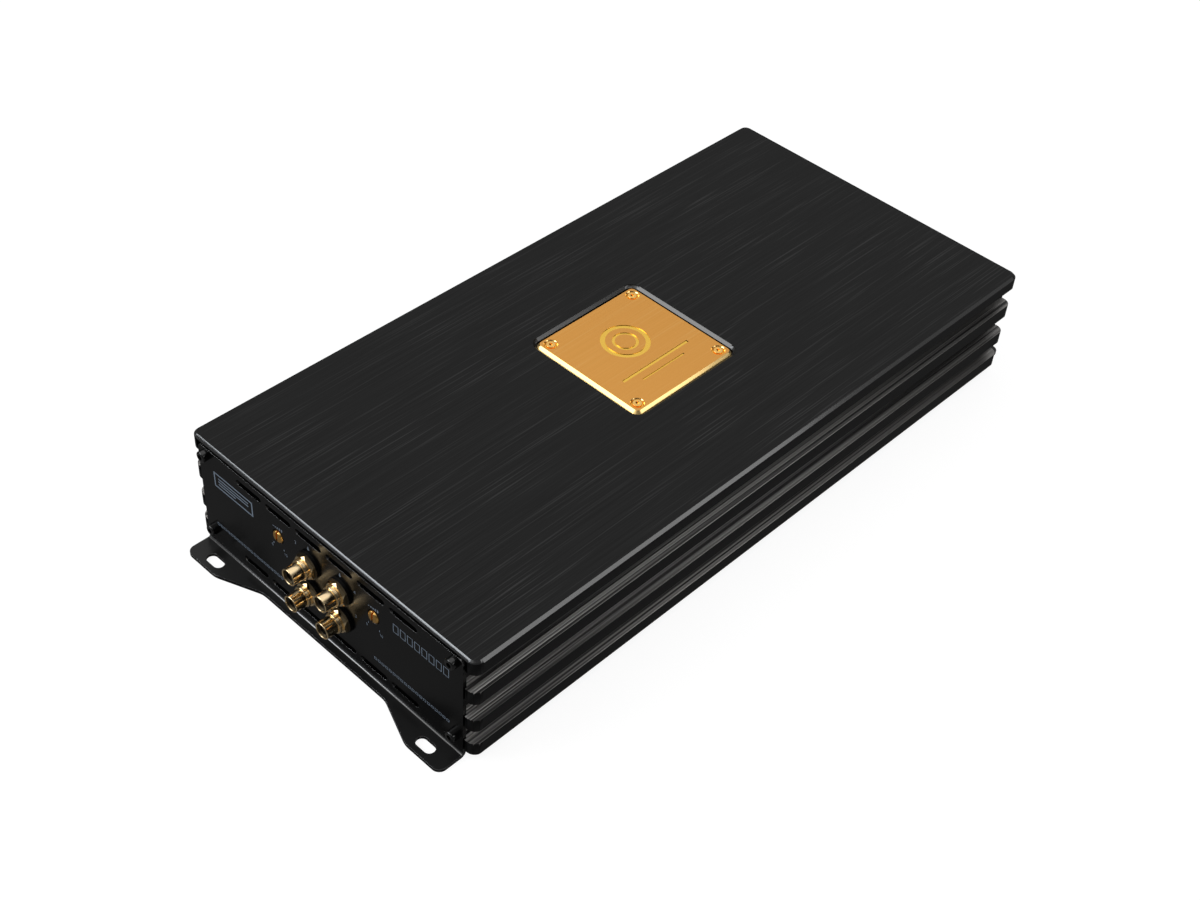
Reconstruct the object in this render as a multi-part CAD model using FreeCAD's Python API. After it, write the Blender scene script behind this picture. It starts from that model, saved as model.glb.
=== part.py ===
import FreeCAD, Part
import math
import os

# Four-channel car amplifier, millimetres.
# X runs across the heatsink, Y along it, Z is up. The input end faces -Y and the power end +Y.
# The origin is the centre of the base, on the surface that the amplifier is screwed to.

# ---- driving dimensions ------------------------------------------------------------------------
BODY_W = 182.0
BODY_L = 372.4
TOP_Z = 62.3
SLAB_BOTTOM_Z = 54.7
CEILING_Z = 57.4
FIN_LEVELS = ((36.8, 44.1), (19.7, 26.7), (4.6, 11.6))
WALL_OUTER_X = 81.5
WALL_INNER_X = 78.5
LIP_X = 71.5
LIP_Z = 7.0
BOSS_R = 4.2
BAY_HALF_W = 73.0
RIM_CHAMFER = 1.25
BODY_CORNER_R = 4.6
RIB_PITCH = 1.25
RIB_DEPTH = 0.16
RIB_HALF_W = 0.25
FIN_EDGE_R = 0.4
PANEL_SEAT = 1.2

SHEET = 1.8
BEND_R = 1.0
PANEL_HALF_W = 84.8
PANEL_TOP_Z = 60.2
PANEL_CORNER_R = 3.0
FLANGE_Y = 200.0
FLANGE_WAIST_Y = 190.8
EAR_INNER_X = 64.0
WAIST_X = 41.0
EAR_R = 4.0
SWEEP_R = 12.0
SLOT_X = 70.6
SLOT_Y = 194.4
SLOT_L = 10.2
SLOT_W = 5.5

VENT_PITCH = 19.85
VENT_COUNT = 6
VENT_L = 16.8
VENT_H = 3.0
VENT_LEVELS = (8.6, 55.4)

PANEL_SCREW_X = 79.6
PANEL_SCREW_LEVELS = (10.8, 56.2)
PANEL_SCREW_DEPTH = 12.0
PANEL_SCREW_HEAD_R = 2.75
PANEL_SCREW_HEAD_H = 3.0

BADGE_SIZE = 67.0
BADGE_R = 3.6
BADGE_FLOOR_Z = 60.2
BADGE_TOP_Z = 62.0
BADGE_BEVEL = 1.4
RECESS_GAP = 0.5
RECESS_CHAMFER = 1.3
BADGE_SCREW_X = 27.8
BADGE_TAP_R = 1.25
BADGE_TAP_DEPTH = 2.4
ENGRAVING_DEPTH = 0.3

JACK_X = 10.25
JACK_LEVELS = (24.5, 41.1)
JACK_REACH = 11.4
JACK_R = 4.15
JACK_THREAD_R = 4.7
JACK_BORE_R = 3.4
JACK_LIP_R = 0.34
CONTACT_R = 1.9
NUT_T = 2.4
NUT_FLATS = 11.0
WASHER_T = 1.5
INNER_WASHER_T = 1.0
WASHER_R = 6.9

POT_X = 31.0
POT_Z = 42.0
POT_SHAFT_R = 3.175
POT_REACH = 0.9

BOARD_Z = 16.0
BOARD_T = 1.6
BOARD_HALF_W = 72.0

FUSE_XS = (5.0, 15.0)
FUSE_Z = 31.0
LED_X = 70.0
LED_Z = 25.0

# Rising-clamp terminals: every value that differs between the power and the speaker rows.
POWER = dict(name="power", xs=(30.0, 44.0, 58.0), pitch=14.0, y0=172.0, y1=199.0, cell_w=10.0, cell_y=7.4,
             side=1.2, base=1.5, space=6.8, bar=1.5, head_bar=2.2, rise=5.0, screw_r=2.0, head_r=3.6,
             head_h=2.8, shoulder=1.4)
SPEAKER = dict(name="speaker", xs=tuple(-66.6 + 7.6 * i for i in range(8)), pitch=7.6, y0=176.0, y1=198.0,
               cell_w=6.2, cell_y=5.8, side=0.7, base=1.1, space=4.7, bar=1.2, head_bar=1.4, rise=3.2,
               screw_r=1.5, head_r=2.5, head_h=2.2, shoulder=1.2)

# ---- fits --------------------------------------------------------------------------------------
M3_R = 1.5
M3_SHANK_R = 1.47
M3_CLEAR_R = 1.7
M4_R = 2.0
M4_SHANK_R = 1.95
RUN = 0.05
PLAY = 0.2

# ---- places worked out from the above ----------------------------------------------------------
END_Y = BODY_L / 2
SEAT_Y = END_Y - PANEL_SEAT
FACE_Y = SEAT_Y + SHEET
BOARD_TOP = BOARD_Z + BOARD_T
MAIN_BOARD_Y0 = -SEAT_Y + 5.0
MAIN_BOARD_Y1 = SEAT_Y - 3.0
INPUT_BOARD_Y = -SEAT_Y + 12.0
DEVICE_YS = (-130.0, -90.0, -50.0, -10.0, 60.0, 100.0)
DEVICE_T = 5.0
PAD_T = 0.4
CLAMP_SCREW_YS = (-110.0, -70.0, -30.0, 80.0)
CAPACITOR_XS = (-44.0, -14.7, 14.7, 44.0)
CAPACITOR_YS = (-80.0, -48.0)
TOROID_Y = 96.0
CHOKE_Y = 22.0
STANDOFF_X = 60.0
STANDOFF_YS = (-150.0, 0.0, 150.0)
BASE_SCREW_X = 76.3
BASE_SCREW_YS = (-165.0, -55.0, 55.0, 165.0)
BASE_SCREW_DEPTH = 8.0
CLAMP_Z = 35.0
CLAMP_BAR_T = 3.0
CLAMP_BAR_SPANS = ((-140.0, 0.0), (50.0, 110.0))
CLAMP_TAP_DEPTH = 2.4

X = FreeCAD.Vector(1, 0, 0)
Y = FreeCAD.Vector(0, 1, 0)
Z = FreeCAD.Vector(0, 0, 1)


# ---- helpers -----------------------------------------------------------------------------------
def vec(x, y, z):
    return FreeCAD.Vector(x, y, z)


def box(x0, x1, y0, y1, z0, z1):
    return Part.makeBox(x1 - x0, y1 - y0, z1 - z0, vec(x0, y0, z0))


def rod(start, axis, length, radius):
    return Part.makeCylinder(radius, length, start, axis)


def tube(start, axis, length, outer, inner):
    return rod(start, axis, length, outer).cut(rod(start, axis, length, inner))


def rounded_outline(corners, radii):
    """Closed face through 3-D corner points; each corner is rounded by its own radius."""
    count = len(corners)
    ends = []
    for i in range(count):
        here = corners[i]
        before = (corners[i - 1] - here).normalize()
        after = (corners[(i + 1) % count] - here).normalize()
        if radii[i] <= 0:
            ends.append((here, None, here))
            continue
        half = before.getAngle(after) / 2
        run = radii[i] / math.tan(half)
        middle = (before + after).normalize()
        bulge = here + middle * (radii[i] / math.sin(half) - radii[i])
        ends.append((here + before * run, bulge, here + after * run))
    edges = []
    for i in range(count):
        first, bulge, last = ends[i]
        if bulge is not None:
            edges.append(Part.Arc(first, bulge, last).toShape())
        start = ends[(i + 1) % count][0]
        if (start - last).Length > 1e-6:
            edges.append(Part.LineSegment(last, start).toShape())
    return Part.Face(Part.Wire(edges))


def plan_block(half_x, half_y, radius, z0, z1):
    corners = [vec(sx * half_x, sy * half_y, z0) for sx, sy in ((-1, -1), (1, -1), (1, 1), (-1, 1))]
    return rounded_outline(corners, [radius] * 4).extrude(Z * (z1 - z0))


def slot_along_x(x, y, z, length, width, depth_axis):
    """Round-ended slot, `length` overall along X, cut along `depth_axis` from z or y."""
    side = Y if depth_axis.z else Z
    half = length / 2 - width / 2
    centre = vec(x, y, z)
    depth = depth_axis.Length
    middle_corner = centre - X * half - side * (width / 2)
    middle = Part.makePolygon([middle_corner, middle_corner + X * 2 * half,
                               middle_corner + X * 2 * half + side * width,
                               middle_corner + side * width, middle_corner])
    cut = Part.Face(middle).extrude(depth_axis)
    for end in (-half, half):
        cut = cut.fuse(rod(centre + X * end, depth_axis, depth, width / 2))
    return cut


def hexagon(start, axis, length, across_flats):
    """Hexagonal prism centred on `start`."""
    side = Z if abs(axis.z) < 0.5 else X
    across = axis.cross(side)
    radius = across_flats / math.sqrt(3)
    turns = [math.radians(60 * i) for i in range(7)]
    points = [start + side * radius * math.cos(a) + across * radius * math.sin(a) for a in turns]
    return Part.Face(Part.makePolygon(points)).extrude(axis * length)


def socket_screw(head_base, axis, head_r, head_h, shank_r, shank_l, key):
    """Cap screw with a hex socket; `axis` points out of the head and `head_base` is under it."""
    head = rod(head_base, axis, head_h, head_r)
    rim = [e for e in head.Edges if (e.CenterOfMass - head_base).dot(axis) > head_h - 1e-6
           and hasattr(e.Curve, "Radius")]
    head = head.makeFillet(head_h * 0.22, rim)
    shank = rod(head_base - axis * shank_l, axis, shank_l, shank_r)
    socket = hexagon(head_base + axis * head_h * 0.4, axis, head_h, key)
    return head.fuse(shank).cut(socket).removeSplitter()


def export(name, *solids):
    shape = solids[0] if len(solids) == 1 else Part.makeCompound(list(solids))
    if not shape.isValid():
        raise ValueError(name + " is not a valid shape")
    shape.exportStep(os.path.join("parts", name + ".step"))


def single(shape):
    """The one solid of a boolean result."""
    solids = shape.Solids
    if len(solids) != 1:
        raise ValueError("expected one solid, got %d" % len(solids))
    return solids[0]


# ---- heatsink and base -------------------------------------------------------------------------
def rib_grooves(z, x0, x1):
    """Shallow V grooves along the top of a fin, between x0 and x1."""
    grooves = []
    count = int((x1 - x0) / RIB_PITCH)
    for side in (-1, 1):
        for i in range(count):
            x = side * (x0 + (i + 0.5) * RIB_PITCH)
            left = vec(x - RIB_HALF_W, -END_Y, z)
            right = vec(x + RIB_HALF_W, -END_Y, z)
            root = vec(x, -END_Y, z - RIB_DEPTH)
            grooves.append(Part.Face(Part.makePolygon([left, right, root, left])).extrude(Y * BODY_L))
    return grooves


def long_edges(shape, x):
    """Edges of a box that run along Y at this x."""
    return [e for e in shape.Edges if e.BoundBox.YLength > 1 and abs(e.CenterOfMass.x - x) < 1e-6]


def fin(side, x0, z0, z1):
    """Flat bar from x0 out to the side of the body, its outer edges slightly rounded."""
    xs = sorted((side * x0, side * BODY_W / 2))
    bar = box(xs[0], xs[1], -END_Y, END_Y, z0, z1)
    return bar.makeFillet(FIN_EDGE_R, long_edges(bar, side * BODY_W / 2))


def heatsink_section():
    """Slab, side walls, inward lips and screw bosses, over the whole length."""
    slab = box(-BODY_W / 2, BODY_W / 2, -END_Y, END_Y, SLAB_BOTTOM_Z, TOP_Z)
    lower_edges = [e for x in (-BODY_W / 2, BODY_W / 2) for e in long_edges(slab, x)
                   if e.CenterOfMass.z < TOP_Z - 1]
    pieces = []
    for side in (-1, 1):
        wall = sorted((side * WALL_INNER_X, side * WALL_OUTER_X))
        pieces.append(box(wall[0], wall[1], -END_Y, END_Y, SHEET, CEILING_Z))
        lip = sorted((side * LIP_X, side * WALL_OUTER_X))
        pieces.append(box(lip[0], lip[1], -END_Y, END_Y, SHEET, LIP_Z))
        for z in PANEL_SCREW_LEVELS:
            pieces.append(rod(vec(side * PANEL_SCREW_X, -END_Y, z), Y, BODY_L, BOSS_R))
        for z0, z1 in FIN_LEVELS:
            pieces.append(fin(side, WALL_INNER_X, z0, z1))
    body = slab.makeFillet(FIN_EDGE_R, lower_edges).fuse(pieces).removeSplitter()
    bay = box(-BAY_HALF_W, BAY_HALF_W, -END_Y, END_Y, SLAB_BOTTOM_Z - 3.0, CEILING_Z)
    return body.cut(bay)


def panel_seat(side_y):
    """Shallow pocket across one end of the body, where the folded panel sits."""
    seat_half = PANEL_HALF_W + 0.3
    ys = sorted((side_y * SEAT_Y, side_y * (END_Y + 1.0)))
    return box(-seat_half, seat_half, ys[0], ys[1], 0.0, PANEL_TOP_Z + 0.3)


def heatsink():
    outline = plan_block(BODY_W / 2, END_Y, BODY_CORNER_R, SHEET - 1.0, TOP_Z)
    rim = [e for e in outline.Edges if e.BoundBox.ZMin > TOP_Z - 1e-3]
    body = heatsink_section().common(outline.makeChamfer(RIM_CHAMFER, rim))
    cuts = [recess(), panel_seat(-1), panel_seat(1)]
    for z0, z1 in FIN_LEVELS:
        cuts += rib_grooves(z1, WALL_OUTER_X + 1.0, BODY_W / 2 - 1.0)
    for side in (-1, 1):
        for z in PANEL_SCREW_LEVELS:
            x = side * PANEL_SCREW_X
            cuts.append(rod(vec(x, -SEAT_Y, z), Y, PANEL_SCREW_DEPTH, M3_R))
            cuts.append(rod(vec(x, SEAT_Y, z), -Y, PANEL_SCREW_DEPTH, M3_R))
        for y in BASE_SCREW_YS:
            cuts.append(rod(vec(side * BASE_SCREW_X, y, SHEET), Z, BASE_SCREW_DEPTH, M3_R))
        for y in CLAMP_SCREW_YS:
            cuts.append(rod(vec(side * WALL_INNER_X, y, CLAMP_Z), X * side, CLAMP_TAP_DEPTH, M4_R))
        for y in (-BADGE_SCREW_X, BADGE_SCREW_X):
            cuts.append(rod(vec(side * BADGE_SCREW_X, y, BADGE_FLOOR_Z), -Z, BADGE_TAP_DEPTH, BADGE_TAP_R))
    return single(body.cut(cuts).removeSplitter())


def recess():
    """Square pocket for the badge, with a sloping rim."""
    half = BADGE_SIZE / 2 + RECESS_GAP
    radius = BADGE_R + RECESS_GAP
    low = plan_block(half, half, radius, BADGE_FLOOR_Z, TOP_Z)
    wide = plan_block(half + RECESS_CHAMFER, half + RECESS_CHAMFER, radius + RECESS_CHAMFER,
                      TOP_Z - RECESS_CHAMFER, TOP_Z)
    foot = [e for e in wide.Edges if e.BoundBox.ZMax < TOP_Z - RECESS_CHAMFER + 1e-3]
    wide = wide.makeChamfer(RECESS_CHAMFER - 0.01, foot)
    return low.fuse(wide)


def bottom_plate():
    plate = box(-WALL_OUTER_X, WALL_OUTER_X, -SEAT_Y + 0.1, SEAT_Y - 0.1, 0.0, SHEET)
    cuts = []
    for side in (-1, 1):
        for y in BASE_SCREW_YS:
            cuts.append(countersunk(side * BASE_SCREW_X, y, 0.0, M3_CLEAR_R, 3.2, 0.0))
    return plate.cut(cuts)


def countersunk(x, y, z, shank_r, head_r, shank_l):
    """Flat-head screw pointing up, or the hole for it, with its wide end at height z."""
    cone_h = 1.5
    cone = Part.makeCone(head_r, shank_r, cone_h, vec(x, y, z), Z)
    return cone.fuse(rod(vec(x, y, z + cone_h), Z, max(shank_l, SHEET), shank_r)).removeSplitter()


def base_screws():
    screws = []
    for side in (-1, 1):
        for y in BASE_SCREW_YS:
            screw = countersunk(side * BASE_SCREW_X, y, 0.1, M3_SHANK_R, 2.9, 7.0)
            screws.append(screw.cut(hexagon(vec(side * BASE_SCREW_X, y, 0.1), Z, 0.9, 2.0)))
    return screws


# ---- folded end panels -------------------------------------------------------------------------
def folded_sheet():
    """The bent plate on the -Y end, before its cut-outs."""
    outer_r = BEND_R + SHEET
    back = -SEAT_Y
    face = -FACE_Y
    corners = [vec(0, back, 0), vec(0, back, PANEL_TOP_Z), vec(0, face, PANEL_TOP_Z),
               vec(0, face, SHEET), vec(0, -FLANGE_Y, SHEET), vec(0, -FLANGE_Y, 0)]
    section = rounded_outline(corners, [outer_r, 0, 0, BEND_R, 0, 0])
    sheet = section.extrude(X * 2 * PANEL_HALF_W)
    sheet.translate(vec(-PANEL_HALF_W, 0, 0))
    half = PANEL_HALF_W
    plan = [vec(-half, back, 0), vec(-half, -FLANGE_Y, 0), vec(-EAR_INNER_X, -FLANGE_Y, 0),
            vec(-WAIST_X, -FLANGE_WAIST_Y, 0), vec(WAIST_X, -FLANGE_WAIST_Y, 0),
            vec(EAR_INNER_X, -FLANGE_Y, 0), vec(half, -FLANGE_Y, 0), vec(half, back, 0)]
    ears = rounded_outline(plan, [0, EAR_R, SWEEP_R, SWEEP_R, SWEEP_R, SWEEP_R, EAR_R, 0]).extrude(Z * TOP_Z)
    top = PANEL_TOP_Z
    front = [vec(-half, back, 0), vec(half, back, 0), vec(half, back, top), vec(-half, back, top)]
    face_outline = rounded_outline(front, [0, 0, PANEL_CORNER_R, PANEL_CORNER_R]).extrude(Y * -30.0)
    return sheet.common(ears).common(face_outline)


def shared_cuts():
    """Vents, screw holes and mounting slots that both end panels have."""
    cuts = []
    for z in VENT_LEVELS:
        for i in range(VENT_COUNT):
            x = (i - (VENT_COUNT - 1) / 2) * VENT_PITCH
            cuts.append(slot_along_x(x, -SEAT_Y + 1.0, z, VENT_L, VENT_H, Y * -(SHEET + 2.0)))
    for side in (-1, 1):
        cuts.append(slot_along_x(side * SLOT_X, -SLOT_Y, -1.0, SLOT_L, SLOT_W, Z * (SHEET + 2.0)))
        for z in PANEL_SCREW_LEVELS:
            cuts.append(panel_hole(side * PANEL_SCREW_X, z, M3_CLEAR_R))
    return cuts


def panel_hole(x, z, radius):
    return rod(vec(x, -SEAT_Y + 1.0, z), -Y, SHEET + 2.0, radius)


def front_panel():
    cuts = shared_cuts()
    for side in (-1, 1):
        cuts.append(panel_hole(side * POT_X, POT_Z, POT_SHAFT_R + 0.5))
        for z in JACK_LEVELS:
            cuts.append(panel_hole(side * JACK_X, z, JACK_THREAD_R + 0.3))
    return single(folded_sheet().cut(cuts).removeSplitter())


def rear_panel():
    panel = folded_sheet().cut(shared_cuts())
    panel = panel.mirror(vec(0, 0, 0), Y)
    cuts = [rod(vec(LED_X, SEAT_Y - 1.0, LED_Z), Y, SHEET + 2.0, 1.6)]
    for row in (POWER, SPEAKER):
        x0, x1 = block_span(row)
        cuts.append(box(x0 - 0.3, x1 + 0.3, SEAT_Y - 1.0, FACE_Y + 1.0,
                        BOARD_TOP - 0.3, block_top(row) + 0.3))
    x0, x1, z0, z1 = fuse_window()
    cuts.append(box(x0 - 0.3, x1 + 0.3, SEAT_Y - 1.0, FACE_Y + 1.0, z0 - 0.3, z1 + 0.3))
    return single(panel.cut(cuts).removeSplitter())


def panel_screws(side_y):
    screws = []
    axis = Y * side_y
    for side in (-1, 1):
        for z in PANEL_SCREW_LEVELS:
            base = vec(side * PANEL_SCREW_X, side_y * FACE_Y, z)
            screws.append(socket_screw(base, axis, PANEL_SCREW_HEAD_R, PANEL_SCREW_HEAD_H,
                                       M3_SHANK_R, 10.0, 2.5))
    return screws


# ---- badge -------------------------------------------------------------------------------------
def badge_plate():
    half = BADGE_SIZE / 2
    plate = plan_block(half, half, BADGE_R, BADGE_FLOOR_Z, BADGE_TOP_Z)
    rim = [e for e in plate.Edges if e.BoundBox.ZMin > BADGE_TOP_Z - 1e-3]
    plate = plate.makeChamfer(BADGE_BEVEL, rim)
    cuts = []
    for x, y in badge_screw_places():
        cuts.append(rod(vec(x, y, BADGE_FLOOR_Z - 1.0), Z, 4.0, 1.35))
        cuts.append(Part.makeCone(2.6, 3.4, 1.2, vec(x, y, BADGE_TOP_Z - 1.2), Z))
    for outer, inner in ((12.0, 9.6), (6.4, 5.0)):
        cuts.append(tube(vec(-6.0, 0.0, BADGE_TOP_Z - ENGRAVING_DEPTH), Z, 1.0, outer, inner))
    for x, length, width in ((13.5, 44.0, 1.6), (18.5, 28.0, 0.9)):
        cuts.append(box(x - width / 2, x + width / 2, -length / 2, length / 2,
                        BADGE_TOP_Z - ENGRAVING_DEPTH, TOP_Z))
    return single(plate.cut(cuts))


def badge_screw_places():
    return [(sx * BADGE_SCREW_X, sy * BADGE_SCREW_X) for sx in (-1, 1) for sy in (-1, 1)]


def badge_screws():
    base_z = BADGE_TOP_Z - 1.2
    return [socket_screw(vec(x, y, base_z), Z, 2.3, 1.3, 1.2, 2.8, 1.7) for x, y in badge_screw_places()]


# ---- input sockets and gain controls -----------------------------------------------------------
def jack_places():
    return [(side * JACK_X, z) for z in JACK_LEVELS for side in (-1, 1)]


def jack_profile():
    """Steps of the gold shell, as (distance out from the panel face, length, radius)."""
    back = -(SHEET + INNER_WASHER_T)
    collar = WASHER_T + NUT_T + 1.5
    return [(back - 1.6, 1.6, 6.0), (back - 5.0, 3.4, 4.4), (back, collar - back, JACK_THREAD_R),
            (collar, JACK_REACH - collar, JACK_R)]


def jack_shell(x, z):
    shell = None
    for start, length, radius in jack_profile():
        step = rod(vec(x, -FACE_Y - start, z), -Y, length, radius)
        shell = step if shell is None else shell.fuse(step)
    shell = shell.removeSplitter()
    tip_y = -FACE_Y - JACK_REACH
    shell = shell.cut(rod(vec(x, tip_y, z), Y, 30.0, JACK_BORE_R))
    lips = [e for e in shell.Edges if abs(e.CenterOfMass.y - tip_y) < 1e-3 and hasattr(e.Curve, "Radius")]
    shell = shell.makeFillet(JACK_LIP_R, lips)
    return single(shell)


def jack_insulator(x, z):
    """Insulating sleeve that fills the shell up to its lip and holds the centre contact."""
    front = -FACE_Y - JACK_REACH + 1.0
    back = -FACE_Y + 7.8
    return tube(vec(x, front, z), Y, back - front, JACK_BORE_R, CONTACT_R)


def jack_contact(x, z):
    """Gold centre contact: split tube at the front, solder pin at the back."""
    front = -FACE_Y - JACK_REACH + 1.8
    contact = rod(vec(x, front, z), Y, 17.4, CONTACT_R)
    contact = contact.cut(rod(vec(x, front, z), Y, 12.4, 1.6))
    pin_start = front + 17.4
    pin_end = INPUT_BOARD_Y + BOARD_T + 1.0
    contact = contact.fuse(rod(vec(x, pin_start, z), Y, pin_end - pin_start, 0.5))
    slit = box(x - 0.2, x + 0.2, front - 0.1, front + 3.0, z - 2.5, z + 2.5)
    return single(contact.cut(slit).removeSplitter())


def jack_nut(x, z):
    """Hex nut with its corners turned down on the outer face."""
    start = -FACE_Y - WASHER_T
    nut = hexagon(vec(x, start, z), -Y, NUT_T, NUT_FLATS)
    turned = Part.makeCone(7.3, 5.6, NUT_T, vec(x, start + 0.6, z), -Y)
    return nut.common(turned).cut(rod(vec(x, start, z), -Y, NUT_T, JACK_THREAD_R + RUN))


def jack_washers(x, z):
    outer = tube(vec(x, -FACE_Y, z), -Y, WASHER_T, WASHER_R, JACK_THREAD_R + RUN)
    inner = tube(vec(x, -SEAT_Y, z), Y, INNER_WASHER_T, WASHER_R, JACK_THREAD_R + RUN)
    return [outer, inner]


def pot_body(x):
    """Gain control: plastic case on the input board with a plain bearing for its shaft."""
    case = box(x - 5.0, x + 5.0, -SEAT_Y + 4.0, INPUT_BOARD_Y, POT_Z - 6.0, POT_Z + 6.0)
    bush = rod(vec(x, -SEAT_Y + 0.4, POT_Z), Y, 3.6, 4.6)
    bore = rod(vec(x, -SEAT_Y, POT_Z), Y, 9.0, POT_SHAFT_R + RUN)
    return single(case.fuse(bush).cut(bore).removeSplitter())


def pot_shaft(x):
    """Domed shaft with a screwdriver slot."""
    tip = -FACE_Y - POT_REACH
    back = -SEAT_Y + 8.6
    shaft = rod(vec(x, tip, POT_Z), Y, back - tip, POT_SHAFT_R)
    rim = [e for e in shaft.Edges if hasattr(e.Curve, "Radius") and e.CenterOfMass.y < tip + 1e-3]
    shaft = shaft.makeFillet(1.3, rim)
    slot = box(x - 0.5, x + 0.5, tip - 1.0, tip + 1.3, POT_Z - 4.0, POT_Z + 4.0)
    return single(shaft.cut(slot))


def input_board():
    board = box(-44.0, 44.0, INPUT_BOARD_Y, INPUT_BOARD_Y + BOARD_T, BOARD_TOP, 50.0)
    holes = [rod(vec(x, INPUT_BOARD_Y, z), Y, BOARD_T, 0.5) for x, z in jack_places()]
    return board.cut(holes)


def link_header():
    y = INPUT_BOARD_Y + BOARD_T
    return box(-30.0, 30.0, y, y + 6.0, BOARD_TOP, BOARD_TOP + 6.0)


# ---- electronics inside ------------------------------------------------------------------------
def main_board():
    board = box(-BOARD_HALF_W, BOARD_HALF_W, MAIN_BOARD_Y0, MAIN_BOARD_Y1, BOARD_Z, BOARD_TOP)
    return board.cut([rod(vec(x, y, BOARD_Z), Z, BOARD_T, M3_CLEAR_R) for x, y in standoff_places()])


def standoff_places():
    return [(side * STANDOFF_X, y) for side in (-1, 1) for y in STANDOFF_YS]


def standoffs():
    height = BOARD_Z - SHEET
    posts = []
    for x, y in standoff_places():
        post = hexagon(vec(x, y, SHEET), Z, height, 6.0)
        posts.append(post.cut(rod(vec(x, y, SHEET + 4.0), Z, height, M3_R)))
    return posts


def board_screws():
    return [socket_screw(vec(x, y, BOARD_TOP), Z, 2.75, 2.0, M3_SHANK_R, 8.0, 2.0)
            for x, y in standoff_places()]


def turned_ring(inner, outer, z0, z1, round_r, x, y):
    """Ring with rounded edges, flat on the board."""
    corners = [vec(x + inner, y, z0), vec(x + outer, y, z0), vec(x + outer, y, z1), vec(x + inner, y, z1)]
    return rounded_outline(corners, [round_r] * 4).revolve(vec(x, y, 0), Z, 360)


def toroid():
    winding_outer = turned_ring(13.0, 34.0, BOARD_TOP, BOARD_TOP + 27.0, 5.0, 0.0, TOROID_Y)
    core = turned_ring(17.0, 30.0, BOARD_TOP + 4.0, BOARD_TOP + 23.0, 0.6, 0.0, TOROID_Y)
    return core, winding_outer.cut(core)


def choke():
    core = rod(vec(-16.0, CHOKE_Y, BOARD_TOP + 8.0), X, 32.0, 4.0)
    winding = tube(vec(-13.0, CHOKE_Y, BOARD_TOP + 8.0), X, 26.0, 8.0, 4.0)
    return [core, winding]


def capacitors():
    cans = []
    for x in CAPACITOR_XS:
        for y in CAPACITOR_YS:
            can = rod(vec(x, y, BOARD_TOP), Z, 35.0, 12.5)
            cans.append(can.makeFillet(1.2, [e for e in can.Edges if e.CenterOfMass.z > BOARD_TOP + 34.9]))
    return cans


def transistor(side, y):
    """Power device against the side wall, with three legs bent down to the board."""
    back = WALL_INNER_X - PAD_T
    case = [box(back - DEVICE_T, back, y - 7.8, y + 7.8, 26.0, 46.0)]
    leg_x = back - DEVICE_T + 2.0
    for i in (-1, 0, 1):
        leg_y = y + i * 5.4
        case.append(box(leg_x, leg_x + 0.6, leg_y - 0.6, leg_y + 0.6, 22.0, 26.0))
        case.append(box(69.4, leg_x + 0.6, leg_y - 0.6, leg_y + 0.6, 21.4, 22.0))
        case.append(box(69.4, 70.0, leg_y - 0.6, leg_y + 0.6, BOARD_TOP, 21.4))
    device = case[0].fuse(case[1:]).removeSplitter()
    return single(device if side > 0 else device.mirror(vec(0, 0, 0), X))


def pad(side, y):
    xs = sorted((side * (WALL_INNER_X - PAD_T), side * WALL_INNER_X))
    return box(xs[0], xs[1], y - 9.0, y + 9.0, 25.0, 48.0)


def clamp_bar(side, y0, y1):
    front = WALL_INNER_X - PAD_T - DEVICE_T
    xs = sorted((side * (front - CLAMP_BAR_T), side * front))
    bar = box(xs[0], xs[1], y0, y1, CLAMP_Z - 5.0, CLAMP_Z + 5.0)
    holes = [rod(vec(side * (front - 4.0), y, CLAMP_Z), X * side, 6.0, M4_R + 0.1)
             for y in CLAMP_SCREW_YS if y0 < y < y1]
    return bar.cut(holes)


def clamp_screws():
    front = WALL_INNER_X - PAD_T - DEVICE_T - CLAMP_BAR_T
    return [socket_screw(vec(side * front, y, CLAMP_Z), X * -side, 3.5, 2.4, M4_SHANK_R, 10.4, 2.5)
            for side in (-1, 1) for y in CLAMP_SCREW_YS]


# ---- rising-clamp terminals --------------------------------------------------------------------
def cell(row):
    """Heights of one terminal cell, from the board up, and the place of the clamp along Y."""
    floor = BOARD_TOP + 1.4
    cage_z = floor + PLAY
    bar_z = cage_z + row["base"] + row["space"]
    cage_bar_z = bar_z + row["bar"] + PLAY
    cage_top = cage_bar_z + row["head_bar"]
    shoulder_z = cage_top + row["rise"] + PLAY
    wall = 3.0
    y1 = row["y1"] - wall
    return dict(floor=floor, cage=cage_z, bar=bar_z, cage_bar=cage_bar_z, cage_top=cage_top,
                shoulder=shoulder_z, head=shoulder_z + row["shoulder"], y0=y1 - row["cell_y"], y1=y1,
                y=y1 - row["cell_y"] / 2)


def block_top(row):
    return cell(row)["head"] + row["head_h"] + 0.3


def block_span(row):
    xs = row["xs"]
    return xs[0] - row["pitch"] / 2, xs[-1] + row["pitch"] / 2


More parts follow.
